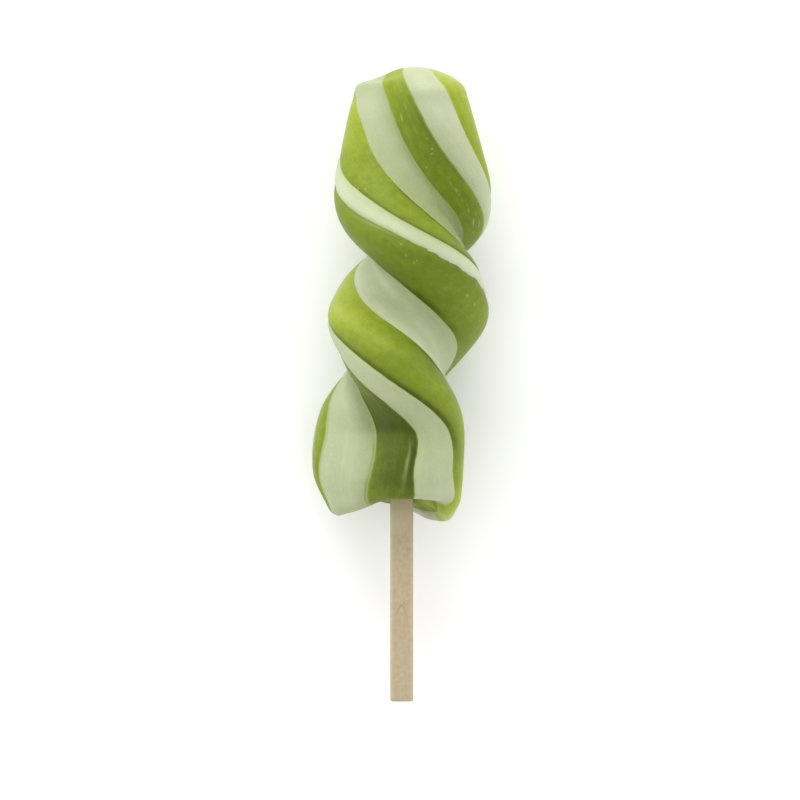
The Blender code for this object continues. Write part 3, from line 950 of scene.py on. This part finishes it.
def sugarMaterial(name, look):
    material = bpy.data.materials.new(name)
    material.use_nodes = True
    tree = material.node_tree
    shader = tree.nodes["Principled BSDF"]
    across, run, stripe = painted(tree, "across"), painted(tree, "run"), painted(tree, "stripe")
    streak = placeGroup(
        tree, sugarGroups["streaks"], Across=across, Run=run, Stripe=stripe,
        Width=look["streakWidth"], Length=look["streakLength"],
    )["Shade"]
    cloud = placeGroup(tree, sugarGroups["cloud"], Size=look["cloudSize"] * mm, Detail=2.0)["Shade"]
    grain = placeGroup(tree, sugarGroups["cloud"], Size=look["grainSize"] * mm, Detail=1.0)["Shade"]
    bubbleGlint = placeGroup(
        tree, sugarGroups["bubbleGlints"], Spacing=look["bubbleGlintSpacing"] * mm, Radius=look["bubbleGlintRadius"] * mm,
        Where=painted(tree, "bubbly"),
    )["Mask"]
    # each single bubble or scratch adds the lighter spot painted for its glint
    for index, height, part, wide, length, lean, strength in look["fleckGlints"]:
        fleckGlint = placeGroup(
            tree, sugarGroups["fleckGlint"], Across=across, Run=run, Stripe=stripe,
            AtAcross=(part - 0.5) * stripeWidth(index, height), AtRun=height, AtStripe=float(index),
            Width=wide, Length=length, Lean=lean, Strength=strength,
        )["Mask"]
        bubbleGlint = math2(tree, "MAXIMUM", bubbleGlint, fleckGlint)
    nearSeam = placeGroup(tree, sugarGroups["nearness"], Rim=painted(tree, "rim"), Width=look["bleedWidth"])["Mask"]

    # the painted tone brings painted light and shade of creases and folds into the colour
    tone = math2(tree, "MULTIPLY_ADD", streak, look["streaks"], painted(tree, "tone"))
    tone = math2(tree, "MULTIPLY_ADD", cloud, look["cloud"], tone)
    tone = math2(tree, "MULTIPLY_ADD", grain, look["grain"], tone)
    colour = colourRamp(tree, tone, look["colours"])
    colour = mixColour(tree, math2(tree, "MULTIPLY", nearSeam, look["bleedShare"]), colour, look["bleed"])
    # painted highlights mixed in where gleam is painted
    colour = mixColour(tree, painted(tree, "gleam"), colour, look["gleam"])
    # lighter spots painted for the glints of bubbles and scratches
    colour = mixColour(tree, math2(tree, "MULTIPLY", bubbleGlint, look["bubbleGlintMix"]), colour, look["bubbleGlint"])
    tree.links.new(colour, shader.inputs["Base Color"])

    low, high = look["roughness"]
    tree.links.new(easedBetween(tree, math2(tree, "ADD", streak, cloud), -0.8, 0.8, low, high), shader.inputs["Roughness"])
    relief = math2(tree, "MULTIPLY_ADD", grain, 0.35, math2(tree, "MULTIPLY", streak, 0.6))
    relief = math2(tree, "MULTIPLY_ADD", bubbleGlint, 0.8, relief)
    bump = tree.nodes.new("ShaderNodeBump")
    bump.inputs["Strength"].default_value = 0.6
    bump.inputs["Distance"].default_value = look["bump"] * mm
    tree.links.new(relief, bump.inputs["Height"])
    tree.links.new(bump.outputs["Normal"], shader.inputs["Normal"])

    shader.inputs["Specular IOR Level"].default_value = look["specular"]
    shader.inputs["Subsurface Weight"].default_value = look["scatterWeight"]
    shader.inputs["Subsurface Radius"].default_value = (1.0, 1.0, 0.5)
    shader.inputs["Subsurface Scale"].default_value = look["scatter"] * mm
    return material


woodLook = {
    "colours": ((0.0, (0.31, 0.245, 0.145)), (0.5, (0.415, 0.340, 0.218)), (1.0, (0.500, 0.425, 0.300))),
    "grainWidth": 0.22, "grainLength": 9.0, "grain": 0.18,
    "mottle": 0.40, "mottleSize": 0.9,
    "arch": 20.9,  # how far the pointed ring of the grain peaks above the free end, mm
    "archLine": 0.50,  # how wide its line is
    "archDepth": 0.45,
    # painted highlight along the stick's long edges, where they round off
    "edgeHighlight": 0.30,
    "nearCandyLight": 4.0,  # how far below the candy the wood is painted lighter, painted light against the shade the candy casts, mm
    "nearCandyLightColour": (0.53, 0.455, 0.315),
}


def stickWood():
    material = bpy.data.materials.new("stickWood")
    material.use_nodes = True
    tree = material.node_tree
    shader = tree.nodes["Principled BSDF"]
    place = tree.nodes.new("ShaderNodeTexCoord").outputs["Object"]
    centred = tree.nodes.new("ShaderNodeMapping")
    centred.inputs["Location"].default_value = (-axisX / mm, -stickLow.y / mm, -axisZ / mm)
    centred.inputs["Scale"].default_value = (1 / mm, 1 / mm, 1 / mm)
    tree.links.new(place, centred.inputs["Vector"])
    parts = tree.nodes.new("ShaderNodeSeparateXYZ")
    tree.links.new(centred.outputs["Vector"], parts.inputs[0])
    side, length, depth = parts.outputs

    lines = vectorOf(
        tree, math2(tree, "DIVIDE", side, woodLook["grainWidth"]), math2(tree, "DIVIDE", length, woodLook["grainLength"]),
        math2(tree, "DIVIDE", depth, woodLook["grainWidth"]),
    )
    fibre = math2(tree, "SUBTRACT", noiseOf(tree, lines, 3.0, 0.6), 0.5)
    cloud = tree.nodes.new("ShaderNodeVectorMath")
    cloud.operation = "SCALE"
    cloud.inputs["Scale"].default_value = 1 / woodLook["mottleSize"]
    tree.links.new(centred.outputs["Vector"], cloud.inputs[0])
    mottle = math2(tree, "SUBTRACT", noiseOf(tree, cloud.outputs[0], 3.0, 0.6), 0.5)

    # a pointed ring where the grain runs out of the face
    rise = math2(tree, "SUBTRACT", length, woodLook["arch"])
    spread = math2(tree, "MULTIPLY", math2(tree, "POWER", math2(tree, "ABSOLUTE", side), 2.0), 2.0)
    ring = math2(tree, "MULTIPLY_ADD", mottle, 1.2, math2(tree, "ADD", rise, spread))
    line = easedBetween(tree, math2(tree, "ABSOLUTE", ring), 0.05, woodLook["archLine"], 1.0, 0.0)
    arch = math2(tree, "MULTIPLY", easedBetween(tree, rise, -5.0, -1.5), line)

    tone = math2(tree, "MULTIPLY_ADD", fibre, woodLook["grain"] * 2, 0.5)
    tone = math2(tree, "MULTIPLY_ADD", mottle, woodLook["mottle"] * 2, tone)
    tone = math2(tree, "MULTIPLY_ADD", arch, -woodLook["archDepth"], tone)
    # painted highlight towards the stick's long edges
    edge = easedBetween(tree, math2(tree, "ABSOLUTE", side), 1.5, 2.4)
    tone = math2(tree, "MULTIPLY_ADD", edge, woodLook["edgeHighlight"], tone)
    colour = colourRamp(tree, tone, woodLook["colours"])
    # painted light on the wood just below the candy, lifting the shade the candy casts there
    nearCandyLight = easedBetween(tree, length, stickReach - woodLook["nearCandyLight"], stickReach)
    colour = mixColour(tree, math2(tree, "MULTIPLY", nearCandyLight, 0.6), colour, woodLook["nearCandyLightColour"])
    tree.links.new(colour, shader.inputs["Base Color"])
    tree.links.new(easedBetween(tree, fibre, -0.4, 0.4, 0.60, 0.78), shader.inputs["Roughness"])
    bump = tree.nodes.new("ShaderNodeBump")
    bump.inputs["Strength"].default_value = 0.5
    bump.inputs["Distance"].default_value = 0.05 * mm
    tree.links.new(math2(tree, "ADD", fibre, math2(tree, "MULTIPLY", mottle, 0.5)), bump.inputs["Height"])
    tree.links.new(bump.outputs["Normal"], shader.inputs["Normal"])
    shader.inputs["Specular IOR Level"].default_value = 0.3
    return material


def paleFloor():
    material = bpy.data.materials.new("paleFloor")
    material.use_nodes = True
    tree = material.node_tree
    shader = tree.nodes["Principled BSDF"]
    place = tree.nodes.new("ShaderNodeTexCoord").outputs["Object"]
    colour = colourRamp(tree, noiseOf(tree, place), ((0.3, (0.95, 0.95, 0.95)), (0.7, (0.97, 0.97, 0.97))))
    tree.links.new(colour, shader.inputs["Base Color"])
    shader.inputs["Roughness"].default_value = 0.9
    shader.inputs["Specular IOR Level"].default_value = 0.0
    return material


greenCandy.data.materials.append(sugarMaterial("greenSugar", greenLook))
paleMaterial = sugarMaterial("paleSugar", paleLook)
for strip in paleStripes:
    strip.data.materials.append(paleMaterial)
stickBar.data.materials.append(stickWood())
print("materials made")


# ---- floor and light ----

studio = {
    "floorSize": 4.0,
    "sky": 1.0,
    "softboxes": (  # name, place, size, watts
        ("topBox", (-0.2, 1.2, 0.6), 1.0, 10.5),
        ("leftBox", (-1.2, 0.3, 0.45), 0.9, 3.8),
        ("rightBox", (1.2, 0.4, 0.45), 0.9, 2.6),
    ),
}


def makeStudio():
    bpy.ops.object.select_all(action="DESELECT")
    bpy.ops.mesh.primitive_plane_add(size=studio["floorSize"], location=(0, 0, 0))
    floor = bpy.context.object
    floor.name = "floor"
    floor.data.materials.append(paleFloor())
    world = bpy.data.worlds.new("studio")
    world.use_nodes = True
    bpy.context.scene.world = world
    sky = world.node_tree.nodes.get("Background")
    sky.inputs["Color"].default_value = (1, 1, 1, 1)
    sky.inputs["Strength"].default_value = studio["sky"]
    for name, place, size, watts in studio["softboxes"]:
        light = bpy.data.lights.new(name, "AREA")
        light.shape = "SQUARE"
        light.size = size
        light.energy = watts
        lamp = bpy.data.objects.new(name, light)
        bpy.context.scene.collection.objects.link(lamp)
        lamp.location = place
        lamp.rotation_euler = (-Vector(place)).to_track_quat("-Z", "Y").to_euler()
        lamp.visible_camera = False
    bpy.context.scene.view_settings.view_transform = "Standard"
    bpy.context.scene.view_settings.look = "None"


makeStudio()
print("studio ready")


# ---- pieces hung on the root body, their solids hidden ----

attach(greenCandy, "root")
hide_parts("candy_body")
for number, strip in enumerate(paleStripes, 1):
    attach(strip, "root")
    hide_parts(f"pale_stripe_{number}")
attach(stickBar, "root")
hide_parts("stick")
